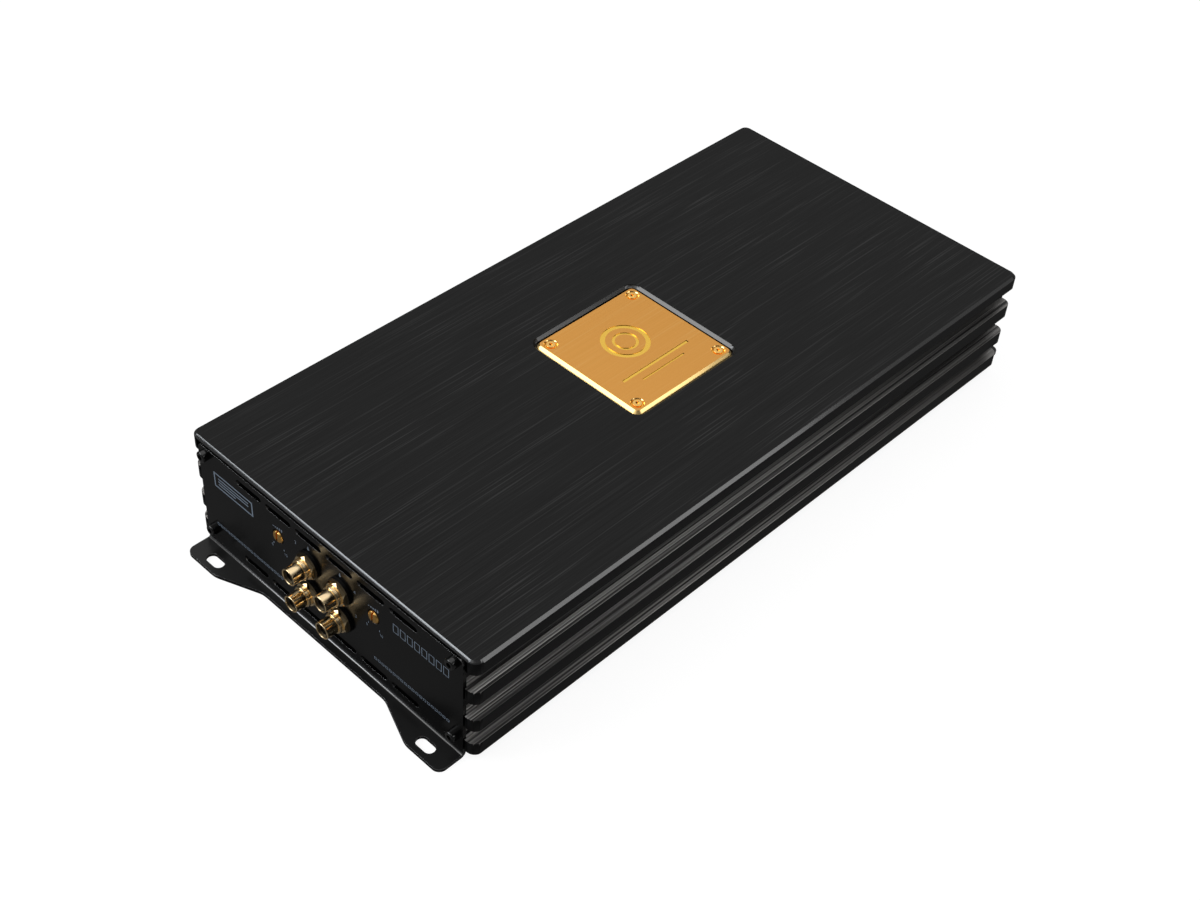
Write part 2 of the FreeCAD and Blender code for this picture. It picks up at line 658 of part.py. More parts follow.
def terminal_block(row):
    """Plastic housing: a cavity, a wire entry and a screw well for every way."""
    at = cell(row)
    x0, x1 = block_span(row)
    body = box(x0, x1, row["y0"], row["y1"], BOARD_TOP, block_top(row))
    edges = [e for e in body.Edges if e.BoundBox.XLength > 1 and e.CenterOfMass.y > row["y1"] - 1e-3
             and e.CenterOfMass.z > block_top(row) - 1e-3]
    body = body.makeChamfer(1.0, edges)
    cuts = []
    for x in row["xs"]:
        half = row["cell_w"] / 2
        cuts.append(box(x - half, x + half, at["y0"], at["y1"], at["floor"], at["shoulder"]))
        entry = row["cell_w"] / 2 - row["side"] - PLAY
        cuts.append(box(x - entry, x + entry, at["y0"], row["y1"] + 1.0,
                        at["cage"] + row["base"], at["bar"]))
        cuts.append(rod(vec(x, at["y"], at["shoulder"] - 1.0), Z, 10.0, row["screw_r"] + RUN))
        cuts.append(rod(vec(x, at["y"], at["head"]), Z, 10.0, row["head_r"] + PLAY))
        cuts.append(contact_bar(row, x))
    return single(body.cut(cuts))


def contact_bar(row, x):
    """Fixed current bar that the wire is pulled up against, with its leg down to the board."""
    at = cell(row)
    half = row["cell_w"] / 2 - row["side"] - PLAY - 0.3
    thick = row["bar"]
    leg_y = row["y0"] + 3.0
    top = box(x - half, x + half, leg_y, at["y1"] - 0.2, at["bar"], at["bar"] + thick)
    leg = box(x - half, x + half, leg_y, leg_y + thick, BOARD_TOP, at["bar"])
    return top.fuse(leg).removeSplitter()


def cage(row, x):
    """Rising cage round the contact bar; its top bar runs on the screw."""
    at = cell(row)
    half = row["cell_w"] / 2 - PLAY
    y0 = at["y0"] + PLAY
    y1 = at["y1"] - PLAY
    frame = box(x - half, x + half, y0, y1, at["cage"], at["cage_top"])
    inner = half - row["side"]
    frame = frame.cut(box(x - inner, x + inner, y0 - 1.0, y1 + 1.0, at["cage"] + row["base"], at["cage_bar"]))
    return single(frame.cut(rod(vec(x, at["y"], at["cage_bar"] - 1.0), Z, 10.0, row["screw_r"] + RUN)))


def terminal_screw(row, x):
    at = cell(row)
    start = at["bar"] + row["bar"] + RUN
    shank = rod(vec(x, at["y"], start), Z, at["head"] - start, row["screw_r"])
    head = rod(vec(x, at["y"], at["head"]), Z, row["head_h"], row["head_r"])
    slot_w = row["head_r"] * 0.3
    slot = box(x - row["head_r"], x + row["head_r"], at["y"] - slot_w / 2, at["y"] + slot_w / 2,
               at["head"] + row["head_h"] * 0.45, at["head"] + row["head_h"] + 1.0)
    return single(head.fuse(shank).cut(slot).removeSplitter())


# ---- fuses and lamp ----------------------------------------------------------------------------
def fuse_window():
    return FUSE_XS[0] - 5.0, FUSE_XS[-1] + 5.0, BOARD_TOP, FUSE_Z + 11.5


def fuse_blade_boxes(x, grow):
    """The two blades of a fuse, or the slots that take them when `grow` is more than zero."""
    blades = []
    for dz in (-7.0, 7.0):
        blades.append(box(x - 0.35 - grow, x + 0.35 + grow, 180.0 - grow, FACE_Y + 1.2,
                          FUSE_Z + dz - 2.6 - grow, FUSE_Z + dz + 2.6 + grow))
    return blades


def fuse_holder():
    x0, x1, z0, z1 = fuse_window()
    body = box(x0, x1, 172.0, FACE_Y + 1.0, z0, z1)
    cuts = []
    for x in FUSE_XS:
        cuts += fuse_blade_boxes(x, PLAY)
    return single(body.cut(cuts))


def fuse(x):
    """Blade fuse: waisted body with a shallow grip on both sides, and two blades."""
    face = FACE_Y + 1.2
    half_w = 2.5
    half_h = 9.5
    body = box(x - half_w, x + half_w, face, face + 11.0, FUSE_Z - half_h, FUSE_Z + half_h)
    cuts = []
    for side in (-1, 1):
        shoulder = FUSE_Z + side * half_h
        cuts.append(box(x - 3.0, x + 3.0, face - 1.0, face + 6.0, shoulder - 1.4, shoulder + 1.4))
        grip = x + side * half_w
        cuts.append(box(grip - 0.5, grip + 0.5, face + 1.6, face + 8.5, FUSE_Z - 5.0, FUSE_Z + 5.0))
    return single(body.cut(cuts).fuse(fuse_blade_boxes(x, 0.0)).removeSplitter())


def lamp():
    """Power lamp: 3 mm lens through the panel on a stalk that stands on the board."""
    lens = rod(vec(LED_X, SEAT_Y - 4.0, LED_Z), Y, 6.8, 1.5)
    lens = lens.makeFillet(1.2, [e for e in lens.Edges if e.CenterOfMass.y > SEAT_Y + 2.7])
    foot = box(LED_X - 2.0, LED_X + 2.0, SEAT_Y - 8.0, SEAT_Y - 4.0, BOARD_TOP, LED_Z + 2.0)
    return single(lens.fuse(foot).removeSplitter())


# ---- the whole ---------------------------------------------------------------------------------
def main():
    os.makedirs("parts", exist_ok=True)
    export("heatsink", heatsink())
    export("bottom_plate", bottom_plate())
    export("bottom_plate_screws", *base_screws())
    export("front_panel", front_panel())
    export("rear_panel", rear_panel())
    export("front_panel_screws", *panel_screws(-1))
    export("rear_panel_screws", *panel_screws(1))
    export("badge_plate", badge_plate())
    export("badge_screws", *badge_screws())
    places = jack_places()
    export("input_jack_shells", *[jack_shell(x, z) for x, z in places])
    export("input_jack_insulators", *[jack_insulator(x, z) for x, z in places])
    export("input_jack_contacts", *[jack_contact(x, z) for x, z in places])
    export("input_jack_nuts", *[jack_nut(x, z) for x, z in places])
    export("input_jack_washers", *[w for x, z in places for w in jack_washers(x, z)])
    export("gain_pot_bodies", *[pot_body(side * POT_X) for side in (-1, 1)])
    for number, side in enumerate((-1, 1), 1):
        export("gain_shaft_%d" % number, pot_shaft(side * POT_X))
    export("input_board", input_board())
    export("link_header", link_header())
    export("main_board", main_board())
    export("board_standoffs", *standoffs())
    export("board_screws", *board_screws())
    core, winding = toroid()
    export("toroid_core", core)
    export("toroid_winding", winding)
    export("filter_choke", *choke())
    export("reservoir_capacitors", *capacitors())
    devices = [(side, y) for side in (-1, 1) for y in DEVICE_YS]
    export("power_transistors", *[transistor(side, y) for side, y in devices])
    export("insulating_pads", *[pad(side, y) for side, y in devices])
    export("clamp_bars", *[clamp_bar(side, y0, y1) for side in (-1, 1) for y0, y1 in CLAMP_BAR_SPANS])
    export("clamp_screws", *clamp_screws())
    for row in (POWER, SPEAKER):
        name = row["name"]
        export(name + "_block", terminal_block(row))
        export(name + "_contact_bars", *[contact_bar(row, x) for x in row["xs"]])
        for number, x in enumerate(row["xs"], 1):
            export("%s_screw_%d" % (name, number), terminal_screw(row, x))
            export("%s_cage_%d" % (name, number), cage(row, x))
    export("fuse_holder", fuse_holder())
    for number, x in enumerate(FUSE_XS, 1):
        export("fuse_%d" % number, fuse(x))
    export("power_lamp", lamp())


main()
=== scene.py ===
"""Looks of the car amplifier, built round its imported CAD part: materials, small pieces, camera, floor and light."""
import math

import bpy
from mathutils import Matrix, Vector


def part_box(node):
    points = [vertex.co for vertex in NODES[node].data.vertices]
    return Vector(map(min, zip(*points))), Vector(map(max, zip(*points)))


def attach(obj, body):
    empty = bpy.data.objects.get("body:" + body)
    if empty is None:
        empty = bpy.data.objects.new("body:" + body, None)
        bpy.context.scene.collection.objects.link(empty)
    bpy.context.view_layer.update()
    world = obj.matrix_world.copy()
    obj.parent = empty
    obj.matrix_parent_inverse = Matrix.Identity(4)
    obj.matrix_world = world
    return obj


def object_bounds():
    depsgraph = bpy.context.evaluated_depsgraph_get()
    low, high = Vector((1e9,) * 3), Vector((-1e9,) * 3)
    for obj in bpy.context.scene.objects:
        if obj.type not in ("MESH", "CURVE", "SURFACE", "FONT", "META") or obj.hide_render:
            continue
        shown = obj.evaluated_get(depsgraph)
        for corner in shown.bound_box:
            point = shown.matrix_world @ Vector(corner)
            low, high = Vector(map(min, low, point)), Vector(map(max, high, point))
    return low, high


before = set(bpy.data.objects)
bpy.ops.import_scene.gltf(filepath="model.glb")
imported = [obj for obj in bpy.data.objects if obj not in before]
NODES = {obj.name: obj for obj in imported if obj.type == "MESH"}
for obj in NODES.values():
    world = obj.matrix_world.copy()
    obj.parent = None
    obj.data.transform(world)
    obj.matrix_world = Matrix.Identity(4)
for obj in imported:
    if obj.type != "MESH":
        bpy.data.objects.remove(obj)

# Lengths are in metres, in the frame of the CAD part: X across, Y from the input end to the power end, Z up.
MM = 0.001
CAD_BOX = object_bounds()

# ---- places read from the frame ------------------------------------------------------------------
WASHER_R = 6.9 * MM
WASHER_T = 1.5 * MM
NUT_T = 2.4 * MM
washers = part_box("input_jack_washers")
PANEL_Y = washers[0].y + WASHER_T
JACK_X = washers[1].x - WASHER_R
JACK_LEVELS = (washers[0].z + WASHER_R, washers[1].z - WASHER_R)
GAIN_X = (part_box("gain_shaft_2")[0].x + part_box("gain_shaft_2")[1].x) / 2 / MM


# ---- node materials ------------------------------------------------------------------------------
class Finish:
    """A node material with a Principled shader, and short ways to add nodes to it."""

    def __init__(self, name, **settings):
        self.material = bpy.data.materials.new(name)
        self.material.use_nodes = True
        self.tree = self.material.node_tree
        self.tree.nodes.clear()
        output = self.tree.nodes.new("ShaderNodeOutputMaterial")
        self.shader = self.tree.nodes.new("ShaderNodeBsdfPrincipled")
        self.tree.links.new(self.shader.outputs["BSDF"], output.inputs["Surface"])
        place = self.tree.nodes.new("ShaderNodeTexCoord")
        self.point = place.outputs["Object"]
        self.normal = place.outputs["Normal"]
        for key, value in settings.items():
            self.shader.inputs[key.replace("_", " ")].default_value = value

    def plug(self, socket, value):
        """Link a socket's output, or write a plain value, into an input."""
        if isinstance(value, bpy.types.NodeSocket):
            self.tree.links.new(value, socket)
        else:
            socket.default_value = value

    def set(self, name, value):
        self.plug(self.shader.inputs[name], value)

    def math(self, operation, *values):
        node = self.tree.nodes.new("ShaderNodeMath")
        node.operation = operation
        for socket, value in zip(node.inputs, values):
            self.plug(socket, value)
        return node.outputs[0]

    def axis(self, vector, letter):
        node = self.tree.nodes.new("ShaderNodeSeparateXYZ")
        self.plug(node.inputs[0], vector)
        return node.outputs[letter]

    def stretched(self, per_x, per_y, per_z):
        """Object coordinates scaled so that one unit is 1/per metres along each axis."""
        node = self.tree.nodes.new("ShaderNodeMapping")
        self.plug(node.inputs["Vector"], self.point)
        node.inputs["Scale"].default_value = (per_x, per_y, per_z)
        return node.outputs[0]

    def noise(self, vector, detail=2.0, scale=1.0, roughness=0.5):
        node = self.tree.nodes.new("ShaderNodeTexNoise")
        self.plug(node.inputs["Vector"], vector)
        node.inputs["Scale"].default_value = scale
        node.inputs["Detail"].default_value = detail
        node.inputs["Roughness"].default_value = roughness
        return node.outputs[0]

    def cells(self, vector, scale=1.0):
        node = self.tree.nodes.new("ShaderNodeTexVoronoi")
        self.plug(node.inputs["Vector"], vector)
        node.inputs["Scale"].default_value = scale
        return node.outputs["Distance"]

    def ramp(self, value, low, high, to_low=0.0, to_high=1.0):
        """Value mapped from low..high to to_low..to_high, clamped and eased."""
        node = self.tree.nodes.new("ShaderNodeMapRange")
        node.interpolation_type = "SMOOTHSTEP"
        for key, number in zip(("From Min", "From Max", "To Min", "To Max"), (low, high, to_low, to_high)):
            node.inputs[key].default_value = number
        self.plug(node.inputs["Value"], value)
        return node.outputs[0]

    def mix(self, share, first, second):
        node = self.tree.nodes.new("ShaderNodeMix")
        node.data_type = "RGBA"
        self.plug(node.inputs["Factor"], share)
        self.plug(node.inputs[6], first)
        self.plug(node.inputs[7], second)
        return node.outputs[2]

    def blend(self, share, first, second):
        """Number between first and second."""
        node = self.tree.nodes.new("ShaderNodeMix")
        self.plug(node.inputs["Factor"], share)
        self.plug(node.inputs[2], first)
        self.plug(node.inputs[3], second)
        return node.outputs[0]

    def bump(self, height, distance, strength=1.0, under=None):
        node = self.tree.nodes.new("ShaderNodeBump")
        self.plug(node.inputs["Strength"], strength)
        node.inputs["Distance"].default_value = distance
        self.plug(node.inputs["Height"], height)
        if under is not None:
            self.plug(node.inputs["Normal"], under)
        self.set("Normal", node.outputs[0])
        return node.outputs[0]

    def brush_along_y(self):
        """Highlights spread across the brushing, which runs along Y."""
        node = self.tree.nodes.new("ShaderNodeVectorMath")
        node.operation = "CROSS_PRODUCT"
        self.plug(node.inputs[0], self.normal)
        node.inputs[1].default_value = (0.0, 1.0, 0.0)
        self.set("Tangent", node.outputs[0])


def grey(value, warmth=0.0):
    return (value * (1 + warmth), value, value * (1 - warmth), 1.0)


def anodised_black():
    """Black anodised aluminium: brushed slab top, machined chamfers, ribbed fin tops, plain dark sides.

    The fin tops are toned down towards the power end to follow the fall of the light, not a real change of finish.
    """
    f = Finish("anodised_black", IOR=1.5, Specular_IOR_Level=0.2, Anisotropic=0.7)
    f.brush_along_y()
    hair = f.noise(f.stretched(2600, 16, 2600), detail=1)
    line = f.ramp(f.noise(f.stretched(1900, 22, 1900), detail=0), 0.60, 0.80)
    patch = f.noise(f.stretched(45, 16, 45), detail=1)
    up = f.axis(f.normal, "Z")
    height = f.axis(f.point, "Z")
    on_slab = f.ramp(height, 59.9 * MM, 60.0 * MM)
    flat = f.ramp(up, 0.93, 0.97)
    sloping = f.math("MULTIPLY", f.ramp(up, 0.45, 0.6), f.math("SUBTRACT", 1.0, flat))
    chamfer = f.math("MULTIPLY", sloping, on_slab)
    fin_top = f.math("MULTIPLY", f.ramp(up, 0.4, 0.6), f.math("SUBTRACT", 1.0, on_slab))
    brushed = f.mix(f.ramp(hair, 0.3, 0.7), grey(0.002), grey(0.0085))
    brushed = f.mix(f.math("MULTIPLY", line, f.ramp(patch, 0.3, 0.7, 0.35, 0.9)), brushed, grey(0.032))
    side = f.mix(hair, grey(0.001), grey(0.006))
    drawn = f.noise(f.stretched(720, 2.5, 60), detail=1)
    rib = f.mix(f.ramp(drawn, 0.36, 0.62), grey(0.10, 0.02), grey(0.62, 0.03))
    rib = f.mix(f.ramp(f.axis(f.point, "Y"), -0.12, 0.19, 0.0, 0.55), rib, grey(0.03))
    colour = f.mix(f.ramp(up, 0.5, 0.8), side, brushed)
    colour = f.mix(fin_top, colour, rib)
    colour = f.mix(chamfer, colour, grey(0.115))
    f.set("Base Color", colour)
    f.set("Metallic", f.blend(chamfer, f.math("MULTIPLY", fin_top, 0.95), 0.9))
    rough = f.blend(fin_top, f.ramp(hair, 0.2, 0.8, 0.36, 0.44), 0.46)
    f.set("Roughness", f.blend(chamfer, rough, 0.20))
    f.bump(hair, 0.012 * MM, f.blend(chamfer, 0.5, 0.0))
    return f.material


def coated_sheet():
    """Satin black paint on folded steel, with a fine grain; bends and sloping edges carry a painted highlight, a
    lighter metallic colour that makes them catch light.
    """
    f = Finish("coated_sheet", IOR=1.5, Specular_IOR_Level=0.25)
    grain = f.noise(f.stretched(3800, 3800, 3800), detail=3)
    cloud = f.noise(f.stretched(60, 60, 60), detail=2)
    up = f.axis(f.normal, "Z")
    # painted light: the flange's upward face near the floor is painted lighter than the upright panel, standing in
    # for the light falling on it from above
    lit_flange = f.math("MULTIPLY", f.ramp(up, 0.9, 1.0),
                    f.ramp(f.axis(f.point, "Z"), 3 * MM, 4 * MM, 1.0, 0.0))
    # painted highlight: bends and sloping edges get a lighter, metallic colour so that they show a bright line
    highlight_edge = f.math("MULTIPLY", f.ramp(up, 0.10, 0.20), f.ramp(up, 0.90, 0.96, 1.0, 0.0))
    paint = f.mix(lit_flange, f.mix(cloud, grey(0.0010), grey(0.0022)), grey(0.012))
    f.set("Base Color", f.mix(highlight_edge, paint, grey(0.21)))
    f.set("Metallic", f.math("MULTIPLY", highlight_edge, 0.85))
    f.set("Roughness", f.ramp(grain, 0.25, 0.75, 0.20, 0.27))
    f.bump(grain, 0.006 * MM, 0.3)
    return f.material


def black_steel():
    """Glossy black oxide on screws."""
    f = Finish("black_steel", IOR=1.6)
    speck = f.noise(f.stretched(2500, 2500, 2500), detail=3)
    f.set("Base Color", f.mix(speck, grey(0.002), grey(0.006)))
    f.set("Roughness", f.ramp(speck, 0.3, 0.7, 0.07, 0.15))
    f.bump(speck, 0.004 * MM, 0.3)
    return f.material


def gold_plate():
    """Polished gold plate with faint turning marks."""
    f = Finish("gold_plate", Metallic=1.0)
    turned = f.noise(f.stretched(500, 5200, 500), detail=2)
    haze = f.noise(f.stretched(350, 350, 350), detail=2)
    across = f.ramp(f.math("ABSOLUTE", f.axis(f.point, "X")), 24 * MM, 25 * MM)
    shafts = f.math("MULTIPLY", across, f.ramp(f.axis(f.point, "Y"), -0.16, -0.15, 1.0, 0.0))
    on_badge = f.ramp(f.axis(f.point, "Z"), 58 * MM, 59 * MM)
    plate = f.mix(haze, (0.95, 0.70, 0.38, 1), (1.0, 0.80, 0.50, 1))
    plate = f.mix(on_badge, plate, (0.95, 0.56, 0.16, 1))
    f.set("Base Color", f.mix(shafts, plate, (1.0, 0.58, 0.17, 1)))
    f.set("Roughness", f.blend(shafts, f.ramp(haze, 0.3, 0.7, 0.09, 0.16), 0.27))
    f.bump(turned, 0.001 * MM, 0.3)
    return f.material


def gold_brushed():
    """Gold badge, brushed along Y on its face and bright on its bevel."""
    f = Finish("gold_brushed", Metallic=1.0, Anisotropic=0.6)
    f.brush_along_y()
    hair = f.noise(f.stretched(2600, 20, 2600), detail=2)
    streak = f.noise(f.stretched(900, 9, 900), detail=2)
    face = f.ramp(f.axis(f.normal, "Z"), 0.93, 0.98)
    engraved = f.math("MULTIPLY", face, f.ramp(f.axis(f.point, "Z"), 61.75 * MM, 61.85 * MM, 1.0, 0.0))
    satin = f.mix(hair, (0.86, 0.40, 0.085, 1), (0.98, 0.50, 0.13, 1))
    satin = f.mix(f.ramp(streak, 0.55, 0.75, 0.0, 0.35), satin, (1.0, 0.60, 0.20, 1))
    satin = f.mix(engraved, satin, (1.0, 0.62, 0.10, 1))
    f.set("Base Color", f.mix(face, (1.0, 0.70, 0.28, 1), satin))
    rough = f.blend(engraved, f.ramp(hair, 0.2, 0.8, 0.40, 0.46), 0.22)
    f.set("Roughness", f.blend(face, 0.16, rough))
    f.bump(f.math("MULTIPLY", hair, face), 0.01 * MM, 0.4)
    return f.material


def moulded(name, colour, rough, ior=1.5):
    """Moulded plastic with a faint spark-eroded texture."""
    f = Finish(name, IOR=ior)
    grain = f.noise(f.stretched(2600, 2600, 2600), detail=3)
    low = tuple(c * 0.8 for c in colour[:3]) + (1.0,)
    f.set("Base Color", f.mix(grain, low, colour))
    f.set("Roughness", f.ramp(grain, 0.3, 0.7, rough, rough + 0.12))
    f.bump(grain, 0.02 * MM, 0.4)
    return f.material


def plated(name, colour, rough, grain_per_m=1800):
    """Plated or bare metal with fine grain."""
    f = Finish(name, Metallic=1.0)
    grain = f.noise(f.stretched(grain_per_m, grain_per_m, grain_per_m), detail=3)
    low = tuple(c * 0.82 for c in colour[:3]) + (1.0,)
    f.set("Base Color", f.mix(grain, low, colour))
    f.set("Roughness", f.ramp(grain, 0.3, 0.7, rough, rough + 0.12))
    f.bump(grain, 0.01 * MM, 0.4)
    return f.material


def circuit_board():
    """Green solder mask over copper tracks."""
    f = Finish("circuit_board", IOR=1.5, Coat_Weight=0.3)
    tracks = f.ramp(f.cells(f.stretched(260, 90, 260)), 0.28, 0.34)
    weave = f.noise(f.stretched(1500, 1500, 1500), detail=2)
    mask = f.mix(weave, (0.004, 0.045, 0.016, 1), (0.006, 0.065, 0.024, 1))
    f.set("Base Color", f.mix(tracks, (0.02, 0.13, 0.04, 1), mask))
    f.set("Roughness", f.ramp(weave, 0.3, 0.7, 0.28, 0.42))
    f.bump(tracks, 0.03 * MM, 0.5)
    return f.material


def copper_wire():
    """Enamelled copper: close turns round the ring."""
    f = Finish("copper_wire", Metallic=1.0, Coat_Weight=0.5)
    turn = f.noise(f.stretched(900, 900, 60), detail=2)
    f.set("Base Color", f.mix(turn, (0.42, 0.13, 0.03, 1), (0.72, 0.27, 0.09, 1)))
    f.set("Roughness", f.ramp(turn, 0.3, 0.7, 0.22, 0.38))
    f.bump(turn, 0.08 * MM, 0.6)
    return f.material


def clear_amber():
    """Tinted translucent fuse body on tinned blades."""
    f = Finish("fuse_amber", IOR=1.49, Transmission_Weight=0.35)
    cloud = f.noise(f.stretched(300, 300, 300), detail=2)
    blade = f.ramp(f.axis(f.point, "Y"), 187.9 * MM, 188.0 * MM, 1.0, 0.0)
    tint = f.mix(cloud, (0.62, 0.28, 0.02, 1), (0.78, 0.38, 0.04, 1))
    f.set("Base Color", f.mix(blade, tint, grey(0.62)))
    f.set("Metallic", blade)
    f.set("Roughness", f.ramp(cloud, 0.3, 0.7, 0.12, 0.22))
    return f.material


def lamp_lens():
    """Frosted blue lamp lens."""
    f = Finish("lamp_blue", IOR=1.5, Transmission_Weight=0.4)
    frost = f.noise(f.stretched(2400, 2400, 2400), detail=2)
    f.set("Base Color", f.mix(frost, (0.03, 0.11, 0.52, 1), (0.05, 0.18, 0.72, 1)))
    f.set("Roughness", f.ramp(frost, 0.3, 0.7, 0.2, 0.34))
    f.bump(frost, 0.02 * MM, 0.3)
    return f.material


def print_ink():
    """Pale grey-blue screen print."""
    f = Finish("print_ink", IOR=1.45)
    mesh = f.noise(f.stretched(4200, 4200, 4200), detail=2)
    f.set("Base Color", f.mix(mesh, (0.18, 0.225, 0.29, 1), (0.28, 0.335, 0.41, 1)))
    f.set("Roughness", f.ramp(mesh, 0.3, 0.7, 0.5, 0.65))
    return f.material


FINISHES = {
    "anodised_black": anodised_black(),
    "coated_sheet": coated_sheet(),
    "black_steel": black_steel(),
    "gold_plate": gold_plate(),
    "gold_brushed": gold_brushed(),
    "black_plastic": moulded("black_plastic", grey(0.003), 0.40, ior=1.3),
    "terminal_plastic": moulded("terminal_plastic", grey(0.018), 0.42),
    "circuit_board": circuit_board(),
    "nickel_steel": plated("nickel_steel", (0.62, 0.60, 0.56, 1), 0.24),
    "ferrite": moulded("ferrite", grey(0.05), 0.55),
    "copper_wire": copper_wire(),
    "capacitor_sleeve": moulded("capacitor_sleeve", (0.010, 0.012, 0.030, 1), 0.26),
    "device_epoxy": moulded("device_epoxy", grey(0.014), 0.5),
    "grey_silicone": moulded("grey_silicone", grey(0.22), 0.6),
    "bare_aluminium": plated("bare_aluminium", (0.66, 0.66, 0.67, 1), 0.34),
    "fuse_amber": clear_amber(),
    "lamp_blue": lamp_lens(),
    "print_ink": print_ink(),
}


def dress_cad_nodes():
    """Give every CAD node the finish of its own material slot."""
    for node in NODES.values():
        for place in node.material_slots:
            place.material = FINISHES[place.material.name.split(".")[0]]


# ---- small pieces --------------------------------------------------------------------------------
def add_piece(name, mesh, finish, body="chassis"):
    piece = bpy.data.objects.new(name, mesh)
    bpy.context.scene.collection.objects.link(piece)
    piece.data.materials.clear()
    piece.data.materials.append(FINISHES[finish])
    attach(piece, body)
    return piece


class Marks:
    """Flat ink marks on an end panel, laid out in millimetres: across, to the right as read, and up."""

    def __init__(self, plane_y, facing):
        self.y = plane_y + facing * 0.02 * MM
        self.right = -facing
        self.points = []
        self.faces = []

    def add(self, outline):
        first = len(self.points)
        self.points += [(self.right * u * MM, self.y, v * MM) for u, v in outline]
        self.faces.append(tuple(range(first, first + len(outline))))

    def bar(self, u0, u1, v0, v1):
        self.add([(u0, v0), (u1, v0), (u1, v1), (u0, v1)])

    def frame(self, u0, u1, v0, v1, stroke):
        self.bar(u0, u1, v0, v0 + stroke)
        self.bar(u0, u1, v1 - stroke, v1)
        self.bar(u0, u0 + stroke, v0 + stroke, v1 - stroke)
        self.bar(u1 - stroke, u1, v0 + stroke, v1 - stroke)

    def row(self, u0, pitch, count, v0, v1, width, stroke):
        """Row of plain outlined blocks."""
        for i in range(count):
            self.frame(u0 + i * pitch, u0 + i * pitch + width, v0, v1, stroke)

    def digit(self, text, u, v, height):
        """A number, centred on (u, v)."""
        curve = bpy.data.curves.new("digit", "FONT")
        curve.body = text
        curve.align_x = "CENTER"
        curve.align_y = "CENTER"
        curve.size = height * 1.4
        holder = bpy.data.objects.new("digit", curve)
        bpy.context.scene.collection.objects.link(holder)
        drawn = holder.evaluated_get(bpy.context.evaluated_depsgraph_get()).to_mesh()
        for face in drawn.polygons:
            self.add([(u + drawn.vertices[i].co.x, v + drawn.vertices[i].co.y) for i in face.vertices])
        bpy.data.objects.remove(holder)
        bpy.data.curves.remove(curve)

    def level(self, u, v):
        """Five short bars growing to the right: a level sign."""
        for i in range(5):
            self.bar(u - 3.2 + 1.4 * i, u - 2.4 + 1.4 * i, v - 0.8, v - 0.4 + 0.3 * i)

    def arrow(self, u, v):
        """Small arrow pointing down."""
        self.bar(u - 0.25, u + 0.25, v - 0.2, v + 1.0)
        self.add([(u - 0.9, v - 0.2), (u, v - 1.2), (u + 0.9, v - 0.2)])

    def plus(self, u, v, reach, stroke):
        self.bar(u - reach, u + reach, v - stroke / 2, v + stroke / 2)
        self.bar(u - stroke / 2, u + stroke / 2, v + stroke / 2, v + reach)
        self.bar(u - stroke / 2, u + stroke / 2, v - reach, v - stroke / 2)

    def minus(self, u, v, reach, stroke):
        self.bar(u - reach, u + reach, v - stroke / 2, v + stroke / 2)

    def piece(self, name, body="chassis"):
        mesh = bpy.data.meshes.new(name)
        mesh.from_pydata(self.points, [], self.faces)
        return add_piece(name, mesh, "print_ink", body)


def add_front_marks():
    marks = Marks(PANEL_Y, -1)
    marks.frame(-75.0, -48.0, 41.0, 49.6, 0.8)
    marks.bar(-72.0, -51.0, 46.6, 47.3)
    marks.bar(-72.0, -51.0, 44.9, 45.6)
    marks.bar(-72.0, -60.0, 43.2, 43.9)
    marks.row(43.2, 4.3, 8, 43.3, 48.3, 3.3, 0.36)
    marks.row(30.2, 2.36, 20, 15.4, 16.9, 1.7, 0.28)
    marks.row(-76.8, 2.36, 20, 15.4, 16.9, 1.7, 0.28)
    for side in (-1, 1):
        gain = side * GAIN_X
        marks.level(gain, 47.4)
        marks.bar(gain - 3.7, gain - 3.2, 35.6, 36.5)
        marks.bar(gain + 3.2, gain + 3.7, 35.6, 36.5)
        marks.digit("0", gain - 4.5, 34.0, 1.6)
        marks.digit("10", gain + 4.5, 34.0, 1.6)
        marks.arrow(side * JACK_X / MM, 50.6)
    for text, u, v in (("2", -18.8, 47.8), ("1", -18.8, 32.6), ("4", 19.4, 47.4), ("3", 19.4, 32.8)):
        marks.digit(text, u, v, 1.9)
    marks.piece("front_marks")


def add_rear_marks():
    marks = Marks(-PANEL_Y, 1)
    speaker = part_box("speaker_block")
    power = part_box("power_block")
    level = speaker[1].z / MM + 3.0
    for i in range(1, 9):
        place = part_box("speaker_screw_%d" % i)
        u = -(place[0].x + place[1].x) / 2 / MM
        if i % 2:
            marks.plus(u, level, 1.2, 0.5)
            marks.digit(str((i + 1) // 2), u - 3.8, level + 4.2, 2.6)
        else:
            marks.minus(u, level, 1.2, 0.5)
    level = power[1].z / MM + 3.2
    centres = [-(sum(corner.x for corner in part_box("power_screw_%d" % i)) / 2 / MM) for i in (1, 2, 3)]
    marks.plus(centres[0], level, 1.8, 0.7)
    marks.frame(centres[1] - 1.2, centres[1] + 1.2, level - 1.2, level + 1.2, 0.5)
    marks.minus(centres[2], level, 1.8, 0.7)
    marks.piece("rear_marks")


def ring_mesh(name, centre, profile, steps=48):
    """Closed profile of (distance along Y, radius) points, in metres, turned round Y through the centre."""
    points = []
    count = len(profile)
    for step in range(steps):
        angle = 2 * math.pi * step / steps
        for along, radius in profile:
            points.append((centre[0] + radius * math.cos(angle), centre[1] + along,
                           centre[2] + radius * math.sin(angle)))
    faces = []
    for step in range(steps):
        here, after = step * count, (step + 1) % steps * count
        for i in range(count):
            j = (i + 1) % count
            faces.append((here + i, here + j, after + j, after + i))
    mesh = bpy.data.meshes.new(name)
    mesh.from_pydata(points, [], faces)
    mesh.shade_smooth()
    return mesh


